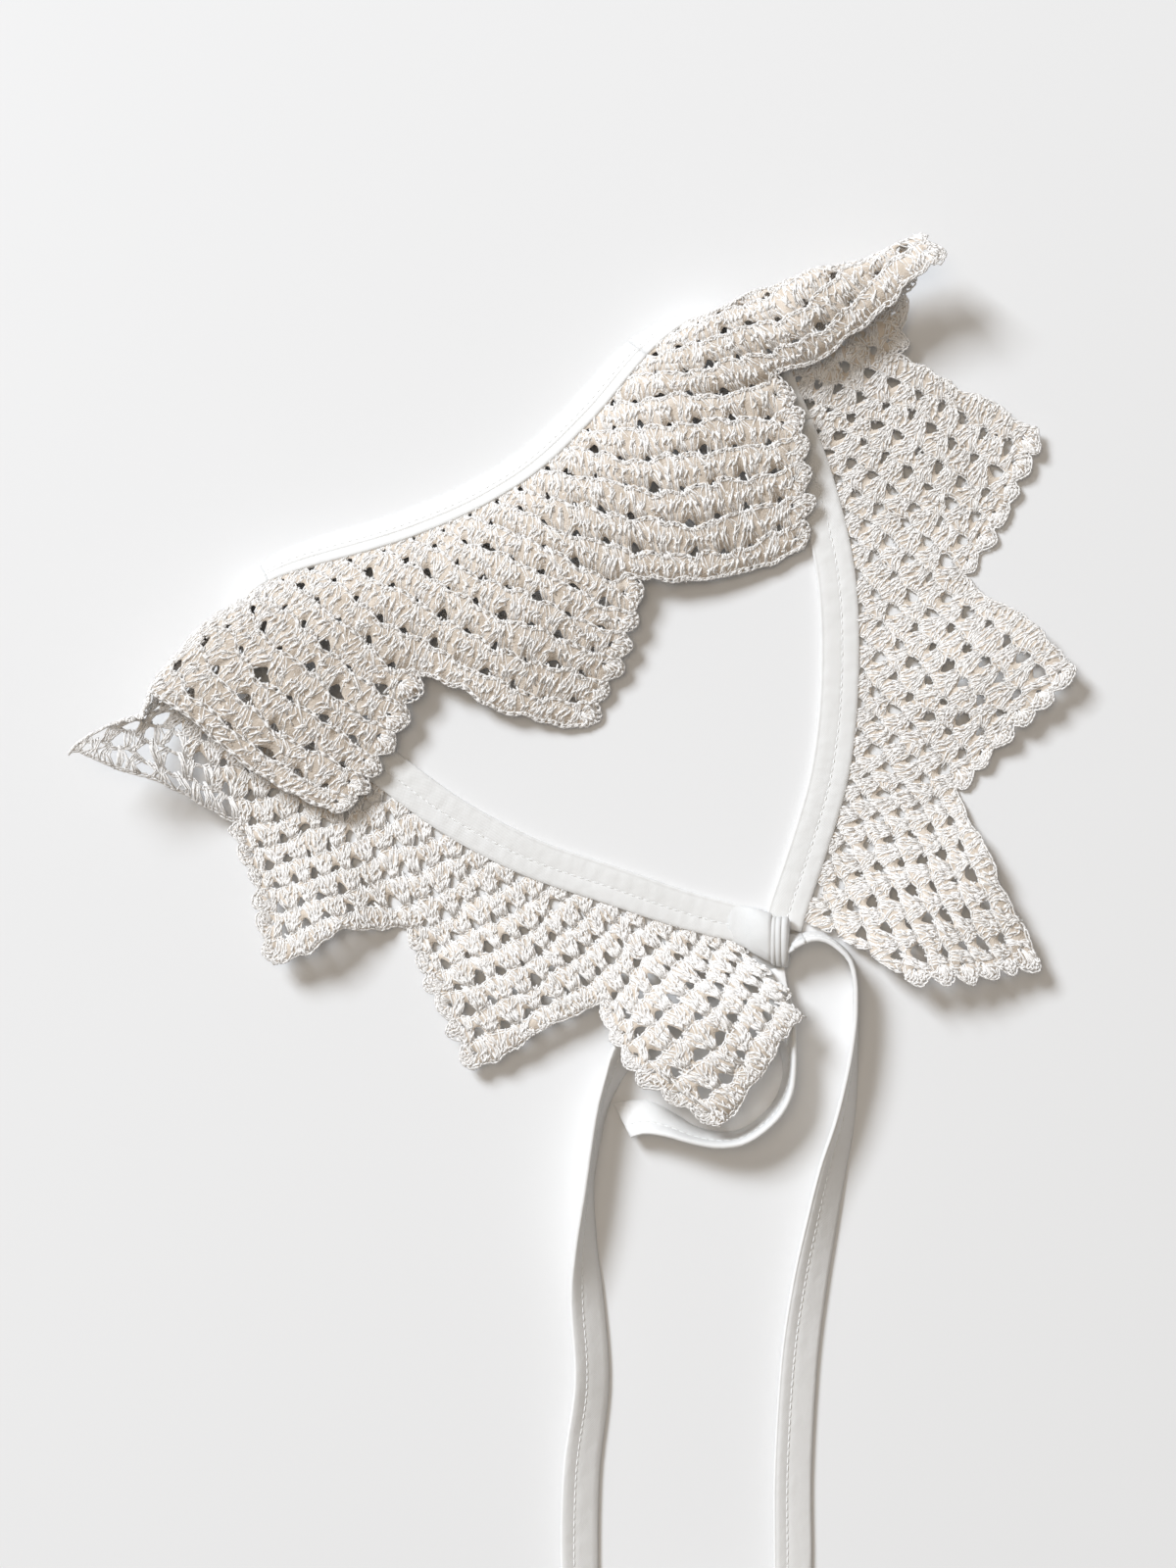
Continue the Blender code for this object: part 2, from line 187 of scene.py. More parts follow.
# Centre lines of the two ties, from the knot to their ends. `roll` is the slope across the
# tie: 0 lies flat, 90 stands on its edge, and past 90 the left edge of the run is the high
# one. The right tie's way back, from (149.4, 412.0) to (149.2, 319.0), lies flatter than
# its CAD solid.
TIE_RIGHT = (
    # x, y, roll
    (201.4, 240.4, 80),
    (206.0, 238.7, 84),
    (210.0, 239.1, 86),
    (213.6, 241.4, 86),
    (216.4, 244.6, 86),
    (217.6, 249.4, 86),
    (217.8, 255.0, 86),
    (217.7, 261.5, 83),
    (216.9, 271.5, 74),
    (214.9, 285.3, 58),
    (211.8, 298.0, 44),
    (209.2, 310.8, 35),
    (206.2, 327.0, 25),
    (203.6, 347.0, 18),
    (202.0, 375.0, 16),
    (202.0, 400.0, 14),
    (200.5, 412.0, 32),
    (195.0, 423.5, 66),
    (186.0, 431.0, 84),
    (175.0, 434.0, 90),
    (164.0, 431.0, 96),
    (154.8, 423.5, 112),
    (149.4, 412.0, 138),
    (147.8, 400.0, 157),
    (148.2, 375.0, 157),
    (150.8, 352.0, 149),
    (149.6, 331.5, 145),
    (149.2, 319.0, 125),
    (149.9, 303.0, 102),
    (151.6, 291.0, 102),
    (153.4, 282.0, 106),
    (156.0, 274.8, 116),
    (158.9, 268.8, 132),
    (163.2, 263.6, 146),
)
TIE_LEFT = (
    # x, y, roll
    (195.2, 247.2, 165),
    (196.2, 253.0, 160),
    (198.2, 259.0, 145),
    (200.2, 265.0, 114),
    (201.1, 271.5, 101),
    (200.4, 277.4, 101),
    (197.9, 282.6, 101),
    (193.4, 287.0, 101),
    (188.3, 289.8, 102),
    (182.3, 290.2, 104),
    (176.2, 288.8, 108),
    (170.2, 286.2, 122),
    (164.2, 284.6, 141),
    (158.6, 285.6, 156),
)
TIE_LEFT_SLANT = 3.0

# Sections of the knot's four wraps, from left to right: x, y, half the width and top.
BROAD_WRAP = (
    (184.6, 235.0, 4.4, 1.1),
    (187.4, 235.7, 4.9, 1.75),
    (190.0, 236.4, 5.3, 2.9),
    (191.0, 236.8, 5.6, 4.4),
    (192.2, 237.3, 5.9, 6.2),
    (194.2, 238.1, 6.1, 7.3),
    (195.6, 238.7, 6.25, 7.9),
    (196.5, 239.1, 6.3, 8.0),
    (196.9, 239.2, 5.7, 7.2),
)
LEFT_WRAP = (
    (196.5, 239.8, 5.7, 7.4),
    (196.8, 239.8, 6.2, 8.3),
    (197.5, 239.8, 6.3, 8.5),
    (197.9, 239.8, 5.9, 7.9),
)
MIDDLE_WRAP = (
    (197.6, 239.9, 5.7, 7.7),
    (197.9, 239.9, 6.3, 8.6),
    (198.7, 240.0, 6.4, 8.8),
    (199.1, 240.0, 6.3, 8.5),
    (199.3, 240.0, 5.8, 7.8),
)
RIGHT_WRAP = (
    (199.0, 240.1, 5.8, 7.8),
    (199.3, 240.1, 6.4, 8.6),
    (200.1, 240.1, 6.5, 8.8),
    (200.8, 240.0, 6.3, 8.4),
    (201.1, 239.9, 5.4, 7.3),
)

# Corners round a wrap, the length of weave there, and how far its top leans over.
KNOT_SIDES = 36
KNOT_ROUND = 30.0
KNOT_LEAN = 0.5

# The right tie where it comes out of the knot, and its scale at the first and last ring.
TIE_ROOT = (
    # x, y, roll
    (199.6, 240.6, 50),
    (200.8, 240.3, 60),
    (202.2, 239.8, 72),
    (203.4, 239.3, 80),
    (204.6, 238.9, 83),
)
ROOT_RINGS = 9
ROOT_SCALES = (0.74, 1.04)

# Picture: the camera looks straight down on a 300 mm wide field of the sheet.
VIEW_CENTRE = (150.0, 200.0)
VIEW_HEIGHT = 750.0
VIEW_WIDTH = 300.0
SENSOR = 36.0

# Threads and ground of the lace, in millimetres.
THREAD = 0.27
THREAD_SIDES = 4
CHAIN_DROP = 0.13
MIDDLE = LACE_WALL / 2
WEB_WALL = 0.16
TUCK = 1.2
CELL = 6.3

# A shell of the crochet, in lattice cells. Three tall stitches stand on each side of its
# hole, this far out from the hole's middle.
SHELL_SHIFT = 0.1
HALF_SHELL = 0.5
POST_FOOT = (0.07, 0.18, 0.31)
POST_WAIST = (0.12, 0.285, 0.45)
POST_HEAD = (0.30, 0.385, 0.475)
CLOSED_HEAD = (0.09, 0.26, 0.43)
END_WAIST = (0.12, 0.24, 0.36)
END_HEAD = (0.27, 0.36, 0.44)
OPEN_FOOT = (0.13, 0.22, 0.31)
OPEN_WAIST = (0.24, 0.34, 0.44)
OPEN_HEAD = (0.37, 0.43, 0.49)
FOOT_SINK = 0.03
FOOT_FALL = 0.04
WAIST_HEIGHT = 0.44
WAIST_AT = 0.32
HEAD_HEIGHT = 1.03
CLOSED_HEIGHT = 0.90

# The plaited top of a row, arched over each hole, in lattice cells.
ARC_RISE = 0.25
ARC_BASE = 0.11
ARC_HALF = 0.30
CLOSED_TOP = 0.92
CLOSED_WAVE = 0.03
CHAIN_PITCH = 0.235
TURN_REACH = 0.8

# The fan of tall stitches at a row's end, and how far its parts and the rim stay inside the
# scallop's line, in lattice cells.
HUB = 5.60
HUB_GAP = 0.28
LOBE_HEADS = (0.0, 0.14, 0.29, 0.43, 0.57, 0.71, 0.86, 1.0)
GROUND_INSET = 0.05
FAN_INSET = 0.07
RIM_INSET = 0.02
RIM_STRETCH = 1.25

# The threads of one tall stitch, legs and the wraps about them, at their start, middle and
# end: share of the way up the stitch, place across it and height, the last two in mm.
POST_THREADS = (
    ((-0.07, -0.26, -0.18), (0.24, -0.30, 0.10), (0.57, 0.10, 0.02)),
    ((-0.07, 0.24, 0.12), (0.26, 0.28, 0.04), (0.56, 0.24, -0.16)),
    ((0.44, -0.14, -0.14), (0.72, -0.26, 0.02), (1.03, -0.30, 0.10)),
    ((0.46, 0.20, 0.05), (0.74, 0.26, 0.14), (1.03, 0.10, -0.05)),
    ((0.33, -0.50, -0.10), (0.49, 0.00, 0.44), (0.62, 0.46, -0.05)),
    ((0.72, -0.46, -0.05), (0.84, 0.02, 0.40), (0.99, 0.38, 0.00)),
    ((0.38, 0.48, 0.00), (0.53, 0.00, -0.42), (0.70, -0.46, 0.00)),
)
OPEN_THREADS = (
    ((-0.05, -0.16, -0.08), (0.45, -0.20, 0.06), (1.03, -0.16, -0.04)),
    ((-0.05, 0.18, 0.06), (0.45, 0.18, -0.06), (1.03, 0.16, 0.05)),
)

# How wide the holes of the folded points are, as a share of the others.
TIGHT = {5: 0.64, 6: 0.55, 7: 0.52, 8: 0.54}

# Waves that make the holes uneven: size, and radians for each row, shell and point.
SLACK_WAVES = (
    (0.13, 2.4, 1.9, 1.0),
    (0.10, 5.1, -3.7, 0.0),
)

# The lifted tip of this point has loose shells, from this sum of row and shell.
OPEN_POINT = 4
OPEN_FROM = 5

# The two legs of one loop of a row's plaited top: place along it in cells, place across it
# and height, both in mm.
CHAIN_LOOP = (
    ((-0.05, 0.02, -0.16), (0.07, 0.34, 0.14), (0.19, 0.36, 0.12), (0.31, 0.06, -0.14)),
    ((-0.05, -0.02, -0.10), (0.07, -0.30, 0.18), (0.19, -0.34, 0.10), (0.31, -0.04, -0.16)),
)

# Waves that make the stitches uneven: size in cells, cells along k and j for a whole wave,
# direction and phase in turns.
WANDER = (
    (0.055, 1.37, 3.10, 0.00, 0.10),
    (0.055, 2.90, 1.55, 0.25, 0.35),
    (0.045, 1.12, -1.83, 0.13, 0.80),
    (0.045, -2.10, 1.21, 0.38, 0.55),
    (0.090, 5.30, -6.70, 0.20, 0.25),
)

# Scatter, as standard deviations: of a tall stitch's places in cells, and of the columns of
# the tables of threads. Each point of the lace has its own seed.
FIRST_SEED = 100
POST_SCATTER = 0.026
THREAD_SCATTER = (0.06, 0.14, 0.09)
LOOP_SCATTER = (0.02, 0.05, 0.05)


# ------ the sheet of the lace

def world(x, y, z=0.0):
    """Sheet millimetres to millimetres round the origin."""
    return np.array((x - SHEET_CENTRE[0], SHEET_CENTRE[1] - y, z))


def smooth_row(keys, rows, key):
    """Value at `key` on the smooth curve through `rows`, placed at `keys`."""
    last = len(keys) - 1
    i = min(max(bisect_right(keys, key) - 1, 0), last - 1)

    def slope(j):
        low, high = max(j - 1, 0), min(j + 1, last)
        return (rows[high] - rows[low]) / (keys[high] - keys[low])

    span = keys[i + 1] - keys[i]
    t = (key - keys[i]) / span
    ease = t * t * (3 - 2 * t)
    start = t * (1 - t) ** 2 * span
    end = t * t * (t - 1) * span
    return rows[i] + (rows[i + 1] - rows[i]) * ease + slope(i) * start + slope(i + 1) * end


NECK_KEYS = [row[0] for row in NECK]
NECK_ROWS = [np.array(row[1:], float) for row in NECK]


def neck_edge(u, side):
    """A point of the neck tape's edge: side 1 is the lace side, -1 the neck side."""
    before, after = (smooth_row(NECK_KEYS, NECK_ROWS, u + step) for step in (-AIM_STEP, AIM_STEP))
    run = world(*after[:2]) - world(*before[:2])
    run /= np.linalg.norm(run)
    x, y, roll = (before + after) / 2
    slope = math.radians(roll)
    across = np.array((-run[1] * math.cos(slope), run[0] * math.cos(slope), math.sin(slope)))
    lift = TAPE_WIDTH / 2 * math.sin(slope) + TAPE_WALL * max(0.0, -math.cos(slope))
    return world(x, y, lift) + across * side * TAPE_WIDTH / 2


def spread(gap):
    """Thin-plate kernel of the squared distances in `gap`."""
    return gap * np.log(gap + TINY)


def flat_place(u, v):
    """Places on the strip before it is bent: millimetres along it and out from the neck."""
    return np.stack((np.asarray(u, float) * PITCH, np.asarray(v, float) * LACE_DEPTH), axis=-1)


def fit_cloth():
    """Smooth sheet through the neck tape's edges and the places of the lace."""
    stations = [NECK_KEYS[0], *np.arange(NECK_KEYS[1], NECK_KEYS[-1] + NECK_STEP / 2, NECK_STEP)]
    flat, solid = [], []
    for u in stations:
        for side, v in ((1, 0.0), (-1, -TAPE_WIDTH / LACE_DEPTH)):
            flat.append(flat_place(u, v))
            solid.append(neck_edge(u, side))
    for u, v, x, y, z in LACE:
        flat.append(flat_place(u, v))
        solid.append(world(x, y, z))
    flat, solid = np.array(flat), np.array(solid)
    count = len(flat)
    gaps = ((flat[:, None] - flat[None]) ** 2).sum(axis=2)
    plane = np.hstack((np.ones((count, 1)), flat))
    matrix = np.zeros((count + 3, count + 3))
    matrix[:count, :count] = spread(gaps)
    matrix[:count, count:] = plane
    matrix[count:, :count] = plane.T
    weights = np.linalg.solve(matrix, np.vstack((solid, np.zeros((3, 3)))))
    return flat, weights


CLOTH = fit_cloth()


def cloth_place(u, v):
    """Raw place of the sheet at each u and v."""
    flat, weights = CLOTH
    here = flat_place(u, v)
    gaps = ((here[:, None] - flat[None]) ** 2).sum(axis=2)
    plane = np.hstack((np.ones((len(here), 1)), here))
    return spread(gaps) @ weights[:-3] + plane @ weights[-3:]


def cloth(u, v):
    """Points of the sheet, resting on the table, and their unit normals."""
    u, v = np.asarray(u, float), np.asarray(v, float)
    along = cloth_place(u + NORMAL_STEP, v) - cloth_place(u - NORMAL_STEP, v)
    across = cloth_place(u, v + NORMAL_STEP) - cloth_place(u, v - NORMAL_STEP)
    normals = np.cross(along, across)
    normals /= np.linalg.norm(normals, axis=1)[:, None]
    points = cloth_place(u, v)
    points[:, 2] = np.maximum(points[:, 2] - REST_BAND, 0.0)
    return points, normals


def on_cloth(u, v, height, floor=0.0):
    """Points at a height above the sheet's under side, kept above the table."""
    shape = np.shape(u)
    points, normals = cloth(np.ravel(u), np.ravel(v))
    points = points + normals * np.ravel(height)[:, None]
    points[:, 2] = np.maximum(points[:, 2], floor)
    return points.reshape(*shape, 3)


# ------ meshes

MARKS_LAYER = "thread"
# Places of a mesh's materials: the cloth, the stitching thread, and the seam's painted shade.
CLOTH_LOOK, STITCH_LOOK, SEAM_SHADE_LOOK = 0, 1, 2

# A face with this many corners or more is the flat end of a tape, a tie or a wrap.
CAP_CORNERS = 16


def add_object(name, data):
    """Puts a mesh, a camera or a lamp into the scene."""
    made = bpy.data.objects.new(name, data)
    bpy.context.scene.collection.objects.link(made)
    return made


class Skin:
    """Collects the points and faces of one mesh, and their places on the thread or tape."""

    def __init__(self):
        self.points, self.faces, self.marks, self.looks = [], [], [], []
        self.count = 0

    def add(self, points, faces, marks=None, look=CLOTH_LOOK):
        """Points in millimetres, faces as loops, and a (along, across) mark for each corner."""
        points = np.asarray(points, float).reshape(-1, 3)
        if marks is None:
            marks = np.zeros((sum(len(face) for face in faces), 2))
        self.points.append(points)
        self.faces += [[i + self.count for i in face] for face in faces]
        self.marks.append(marks)
        self.looks += [look] * len(faces)
        self.count += len(points)

    def build(self, name, *materials):
        """Makes the mesh object. A look is the place of its material in `materials`."""
        mesh = bpy.data.meshes.new(name)
        mesh.from_pydata((np.vstack(self.points) * MM).tolist(), [], self.faces)
        layer = mesh.uv_layers.new(name=MARKS_LAYER)
        layer.data.foreach_set("uv", np.vstack(self.marks).astype(np.float32).ravel())
        for material in materials:
            mesh.materials.append(material)
        mesh.polygons.foreach_set("material_index", self.looks)
        mesh.polygons.foreach_set("use_smooth", [len(face) < CAP_CORNERS for face in self.faces])
        mesh.update()
        return add_object(name, mesh)


def unit(vectors):
    """The vectors with length 1."""
    return vectors / np.maximum(np.linalg.norm(vectors, axis=-1, keepdims=True), TINY)


def tube_rings(paths, radius, sides):
    """Rings round each path that twist as little as they can: (tube, ring, side, xyz)."""
    tangents = unit(np.gradient(paths, axis=1))
    helper = np.where(np.abs(tangents[:, :1, 2:]) < 0.9, (0.0, 0.0, 1.0), (1.0, 0.0, 0.0))
    side = unit(np.cross(tangents[:, 0], helper[:, 0]))
    turns = np.arange(sides) * 2 * math.pi / sides
    cosines, sines = np.cos(turns)[None, :, None], np.sin(turns)[None, :, None]
    rings = []
    for step in range(paths.shape[1]):
        tangent = tangents[:, step]
        side = unit(side - (side * tangent).sum(axis=1, keepdims=True) * tangent)
        up = np.cross(tangent, side)
        around = cosines * side[:, None] + sines * up[:, None]
        rings.append(paths[:, step, None] + radius * around)
    return np.stack(rings, axis=1)


def tube_marks(paths, sides):
    """Marks of the tubes' walls: millimetres along the path and turns round it."""
    count, length = paths.shape[:2]
    steps = np.linalg.norm(np.diff(paths, axis=1), axis=2)
    along = np.concatenate((np.zeros((count, 1)), np.cumsum(steps, axis=1)), axis=1)[..., None]
    around = np.arange(sides + 1) / sides
    marks = np.empty((count, length - 1, sides, 4, 2))
    marks[..., 0, 0] = marks[..., 1, 0] = along[:, :-1]
    marks[..., 2, 0] = marks[..., 3, 0] = along[:, 1:]
    marks[..., 0, 1] = marks[..., 3, 1] = around[:-1]
    marks[..., 1, 1] = marks[..., 2, 1] = around[1:]
    return marks.reshape(-1, 2)


def tubes(skin, paths, radius, sides=THREAD_SIDES, look=CLOTH_LOOK):
    """Adds closed round tubes along paths of one length: (tube, point, xyz)."""
    paths = np.asarray(paths, float)
    count, length = paths.shape[:2]
    start = np.arange(count)[:, None, None] * length * sides
    ring = np.arange(length - 1)[None, :, None] * sides
    a = start + ring + np.arange(sides)
    b = start + ring + (np.arange(sides) + 1) % sides
    faces = np.stack((a, b, b + sides, a + sides), axis=-1).reshape(-1, 4).tolist()
    for first in range(0, count * length * sides, length * sides):
        last = first + (length - 1) * sides
        faces.append(list(range(first, first + sides))[::-1])
        faces.append(list(range(last, last + sides)))
    marks = np.vstack((tube_marks(paths, sides), np.zeros((2 * sides * count, 2))))
    skin.add(tube_rings(paths, radius, sides), faces, marks, look)


def inside_out(points, faces):
    """Whether the closed skin's loops turn inwards, by the volume that they enclose."""
    volume = 0.0
    for face in faces:
        a = points[face[0]]
        for b, c in zip(face[1:-1], face[2:]):
            volume += np.dot(a, np.cross(points[b], points[c]))
    return volume < 0


def loft(skin, rings, across, along):
    """Adds a closed skin through equal rings, with flat ends."""
    rings = np.asarray(rings, float)
    count, sides = rings.shape[:2]
    faces, marks = [], []
    for ring in range(count - 1):
        for side in range(sides):
            a = ring * sides + side
            b = ring * sides + (side + 1) % sides
            faces.append([a, b, b + sides, a + sides])
            marks.append([(along[ring], across[side]), (along[ring], across[side + 1]),
                          (along[ring + 1], across[side + 1]), (along[ring + 1], across[side])])
    faces.append(list(range(sides))[::-1])
    marks.append([(along[0], across[side]) for side in range(sides)][::-1])
    faces.append(list(range((count - 1) * sides, count * sides)))
    marks.append([(along[-1], across[side]) for side in range(sides)])
    if inside_out(rings.reshape(-1, 3), faces):
        faces = [face[::-1] for face in faces]
        marks = [corners[::-1] for corners in marks]
    skin.add(rings, faces, [mark for corners in marks for mark in corners])


def thicken(faces, count):
    """Loops of a wall: `faces` below, the same above, and a rim between them."""
    loops = [tuple(reversed(face)) for face in faces]
    loops += [tuple(i + count for i in face) for face in faces]
    edges = {(a, b) for face in faces for a, b in zip(face, face[1:] + face[:1])}
    for a, b in sorted(edges):
        if (b, a) not in edges:
            loops.append((a, b, b + count, a + count))
    return loops


# ------ lattice of the crochet

def scallop(t):
    """How far a row's end shell stands past the valley line, in cells."""
    return SCALLOP_RISE * np.abs(np.sin(np.pi * t)) - SCALLOP_DIP


def scallop_edge(row, t, inset):
    """Lattice place on the scallop of a row, `t` of the way up it and drawn in by `inset`."""
    return CELLS + float(scallop(t)) - inset, row + t


def sheet_place(point, k, j):
    """u and v of lattice places, drawn in to the neck and to the lace's two ends."""
    k, j = k + CELLS * point, j - CELLS * point
    shift_k, shift_j = np.zeros_like(k), np.zeros_like(j)
    for size, wave_k, wave_j, way, phase in WANDER:
        swing = size * np.sin(2 * np.pi * (k / wave_k + j / wave_j + phase))
        shift_k = shift_k + swing * math.cos(2 * math.pi * way)
        shift_j = shift_j + swing * math.sin(2 * math.pi * way)
    k, j = k + shift_k, j + shift_j
    u = (k - j) / (2 * CELLS)
    v = (k + j) / (2 * CELLS)
    return np.clip(u, LACE_START, LACE_END), np.maximum(v, -TUCK / LACE_DEPTH)


def beyond(point, k, j):
    """Whether lattice places lie past the neck or past the lace's two ends."""
    u = point + (k - j) / (2 * CELLS)
    return (k + j < -TUCK / LACE_DEPTH * 2 * CELLS) | (u < LACE_START) | (u > LACE_END)


def rows_of(point):
    """The rows of crochet of one point, as far as the lace reaches: first and last shell."""
    first_row = -CELLS // 2 if point == LACE_POINTS else 0
    for row in range(first_row, CELLS):
        first = max(-row - 1, row - CELLS + 1) if point == 1 else -row - 1
        last = min(CELLS - 1, row + CELLS) if point == LACE_POINTS else CELLS - 1
        yield row, first, last


def slack(point, row, number):
    """How widely a shell's hole stands open, as a share of the usual."""
    share = TIGHT.get(point, 1.0)
    for size, by_row, by_shell, by_point in SLACK_WAVES:
        share += size * math.sin(by_row * row + by_shell * number + by_point * point)
    return share


def is_open(point, row, number):
    """Whether a shell is one of the loose, see-through ones at the lifted tip."""
    return point == OPEN_POINT and row + number >= OPEN_FROM


def is_closed(row, number):
    """Whether a shell has the plain top of a point's last row."""
    return row == CELLS - 1 and number >= 0


def is_turn(row, number):
    """Whether a shell is the last of its row, beside the fan."""
    return number == CELLS - 1 and row >= 0


# ------ ground of the crochet

class Web:
    """The ground of the crochet: a thin sheet with the holes of the stitches, coloured with painted
    shade that stands in for the shade between the threads.

    A shell's ground reaches from FOOT to HEAD, with a hole between HEAD and the next row.
    """

    ACROSS = (-0.5, -0.43, -0.27, -0.16, -0.06, 0.0, 0.06, 0.16, 0.27, 0.43, 0.5)
    FOOT = (0.22, 0.04, 0.04, 0.17, 0.22, 0.24, 0.22, 0.17, 0.04, 0.04, 0.22)
    HEAD = (1.0, 1.04, 1.04, 0.86, 0.74, 0.70, 0.74, 0.86, 1.04, 1.04, 1.0)
    WAIST = 0.5
    CLOSED = 0.93

    # Heads below HOLE_EDGE border a hole, and rise where it is tight.
    HOLE_EDGE = 0.9
    RISE = 0.5

    # The hole at the hub of the fan: its span up the row, its reach from the last shell.
    HUB_HOLE = (0.38, 0.62)
    HUB_REACH = 0.12

    def __init__(self, point):
        self.point = point
        self.places, self.numbers, self.faces = [], {}, []

    def number(self, k, j):
        """The number of the corner at a lattice place."""
        key = (round(k, 4), round(j, 4))
        if key not in self.numbers:
            self.numbers[key] = len(self.places)
            self.places.append(key)
        return self.numbers[key]

    def face(self, *corners):
        """Adds a face, unless all of it lies beyond the lace."""
        k, j = np.array(corners).T
        if not beyond(self.point, k, j).all():
            self.faces.append([self.number(*corner) for corner in corners])

    def heads(self, row, number):
        """How high a shell's ground reaches at the places across it."""
        if is_closed(row, number):
            head = [self.CLOSED] * len(self.ACROSS)
            if number == 0:
                head[0] = 1.0
            return head
        rise = self.RISE * (1 - slack(self.point, row, number))
        return [at + rise * (at < self.HOLE_EDGE) for at in self.HEAD]

    def shell(self, row, number):
        """Adds the ground of one shell."""
        head = self.heads(row, number)
        foot = list(self.FOOT)
        end = is_turn(row, number)
        if end:
            foot[-1] = 0.0
        places = [number + SHELL_SHIFT + at for at in self.ACROSS]
        for i, (left, right) in enumerate(zip(places, places[1:])):
            beside_hub = end and i == len(places) - 2
            low, high = self.HUB_HOLE if beside_hub else (self.WAIST, self.WAIST)
            self.face((left, row + foot[i]), (right, row + foot[i + 1]),
                      (right, row + low), (left, row + self.WAIST))
            self.face((left, row + self.WAIST), (right, row + high),
                      (right, row + head[i + 1]), (left, row + head[i]))
        if end:
            self.lobe(row, places[-1], head[-1])

    def lobe(self, row, inner, head):
        """Adds the ground of the fan, round the hole at its hub."""
        bottom, low, side, high, top = (
            scallop_edge(row, t, GROUND_INSET) for t in (0.0, 0.25, 0.5, 0.75, 1.0))
        hub_low, hub_high = self.HUB_HOLE
        tip = (inner + self.HUB_REACH, row + self.WAIST)
        self.face((inner, row), bottom, low, side, tip, (inner, row + hub_low))
        self.face((inner, row + hub_high), tip, side, high, top, (inner, row + head))

    def build(self, skin):
        """Adds the point's ground to the skin, as a thin wall."""
        for row, first, last in rows_of(self.point):
            for number in range(first, last + 1):
                if not is_open(self.point, row, number):
                    self.shell(row, number)
        k, j = np.array(self.places).T
        u, v = sheet_place(self.point, k, j)
        lower = on_cloth(u, v, np.full(len(u), MIDDLE - WEB_WALL / 2))
        upper = on_cloth(u, v, np.full(len(u), MIDDLE + WEB_WALL / 2))
        skin.add(np.vstack((lower, upper)), thicken(self.faces, len(lower)))


# ------ threads of the crochet

def through(a, b, c, q):
    """Curve through a at 0, b at WAIST_AT and c at 1."""
    w = WAIST_AT
    return a * (q - w) * (q - 1) / w + b * q * (q - 1) / (w * (w - 1)) + c * q * (q - w) / (1 - w)


def post_threads(posts, kinds, rng):
    """The threads of tall stitches: (thread, point, lattice place and height in mm)."""
    posts = np.array(posts, float)
    posts += rng.normal(0, POST_SCATTER, posts.shape)
    count = len(posts)
    table = np.array(kinds)[None] + rng.normal(0, THREAD_SCATTER, (count, *np.shape(kinds)))
    way, across, height = (table[..., i, None] for i in range(3))
    foot, waist, head = (posts[:, None, None, i] for i in range(3))
    line = through(foot, waist, head, way)
    run = unit(head - foot)
    lateral = np.concatenate((run[..., 1:], -run[..., :1]), axis=-1)
    place = line + lateral * across / CELL
    return np.concatenate((place, height), axis=-1).reshape(count * len(kinds), -1, 3)


def post_places(row, number, loose, side):
    """How far out the feet, waists and heads of three tall stitches stand from their hole."""
    feet, waists, heads = POST_FOOT, POST_WAIST, POST_HEAD
    if loose:
        feet, waists, heads = OPEN_FOOT, OPEN_WAIST, OPEN_HEAD
    if is_closed(row, number):
        heads = CLOSED_HEAD
    if side == 1 and is_turn(row, number):
        waists, heads = END_WAIST, END_HEAD
    return feet, waists, heads


def shell_posts(point, row, number, loose):
    """Foot, waist and head of a shell's six tall stitches, three on each side of its hole."""
    centre = number + SHELL_SHIFT
    share = slack(point, row, number)
    widths = (share, 0.5 + 0.5 * share, 1.0)
    top = CLOSED_HEIGHT if is_closed(row, number) else HEAD_HEIGHT
    made = []
    for side in (-1, 1):
        feet, waists, heads = post_places(row, number, loose, side)
        for i, width in enumerate(widths):
            foot = (centre + side * feet[i], row + ARC_RISE - FOOT_SINK - FOOT_FALL * i)
            waist = (centre + side * waists[i] * width, row + WAIST_HEIGHT)
            head = (centre + side * heads[i] * width, row + top)
            made.append((foot, waist, head))
    return made


def lobe_posts(row):
    """The fan of tall stitches round the turn at a row's end."""
    hub = np.array((HUB, row + 0.5))
    made = []
    for t in LOBE_HEADS:
        head = np.array(scallop_edge(row, t, FAN_INSET))
        foot = hub + (head - hub) * HUB_GAP
        made.append((foot, (foot + head) / 2, head))
    return made


def plait(line, count, drop, point, rng, skin):
    """Loops of two legs along `line`, which gives lattice places for cells along it."""
    starts = np.arange(count) * CHAIN_PITCH
    scatter = rng.normal(0, LOOP_SCATTER, (count, *np.shape(CHAIN_LOOP)))
    loops = np.array(CHAIN_LOOP)[None] + scatter
    along = starts[:, None, None] + loops[..., 0]
    place, ahead, behind = line(along), line(along + AIM_STEP), line(along - AIM_STEP)
    run = unit(ahead - behind)
    lateral = np.stack((run[..., 1], -run[..., 0]), axis=-1)
    place = place + lateral * loops[..., 1, None] / CELL
    k, j = place.reshape(-1, loops.shape[2], 2).transpose(2, 0, 1)
    keep = ~beyond(point, k, j).any(axis=1)
    if keep.any():
        u, v = sheet_place(point, k[keep], j[keep])
        height = MIDDLE - drop + loops[..., 2].reshape(-1, loops.shape[2])[keep]
        tubes(skin, on_cloth(u, v, height, THREAD), THREAD)


